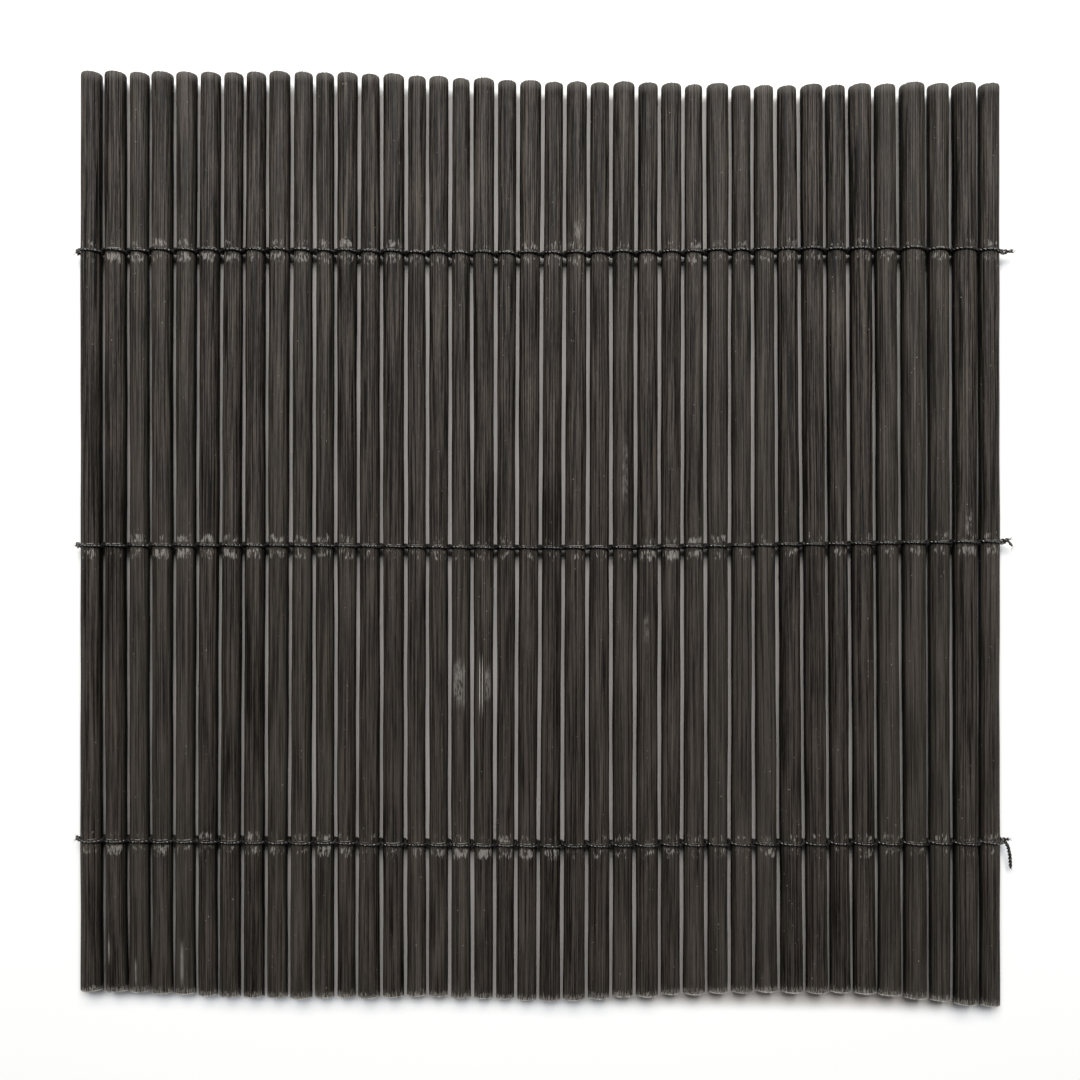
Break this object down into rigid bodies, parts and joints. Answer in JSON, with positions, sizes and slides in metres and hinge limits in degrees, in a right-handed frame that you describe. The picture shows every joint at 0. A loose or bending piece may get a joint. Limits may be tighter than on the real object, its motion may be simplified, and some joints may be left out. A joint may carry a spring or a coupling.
{
  "type": "synthetic reed screen",
  "caption": "Square sample of synthetic reed screen: round hollow dark grey plastic reeds side by side, bound by rows of twined black cord.",
  "frame": {"origin": "centre of the screen's outline, loose ends included, on the surface it lies on", "axes": "+Z out of the face that the picture shows, +Y along the reeds towards their top ends, +X across the reeds to the right"},
  "size_m": [0.3194, 0.3166, 0.0099],
  "materials": {
    "reed": "fluted, satin, scuffed",
    "twine": "two-ply, waxed"
  },
  "bodies": {
    "root": {"reed_01": "reed", "reed_02": "reed", "reed_03": "reed", "reed_04": "reed", "reed_05": "reed", "reed_06": "reed", "reed_07": "reed", "reed_08": "reed", "reed_09": "reed", "reed_10": "reed", "reed_11": "reed", "reed_12": "reed", "reed_13": "reed", "reed_14": "reed", "reed_15": "reed", "reed_16": "reed", "reed_17": "reed", "reed_18": "reed", "reed_19": "reed", "reed_20": "reed", "reed_21": "reed", "reed_22": "reed", "reed_23": "reed", "reed_24": "reed", "reed_25": "reed", "reed_26": "reed", "reed_27": "reed", "reed_28": "reed", "reed_29": "reed", "reed_30": "reed", "reed_31": "reed", "reed_32": "reed", "reed_33": "reed", "reed_34": "reed", "reed_35": "reed", "reed_36": "reed", "reed_37": "reed", "reed_38": "reed", "reed_39": "reed", "top_twine_a": "twine", "top_twine_b": "twine", "middle_twine_a": "twine", "middle_twine_b": "twine", "bottom_twine_a": "twine", "bottom_twine_b": "twine"}
  },
  "joints": []
}
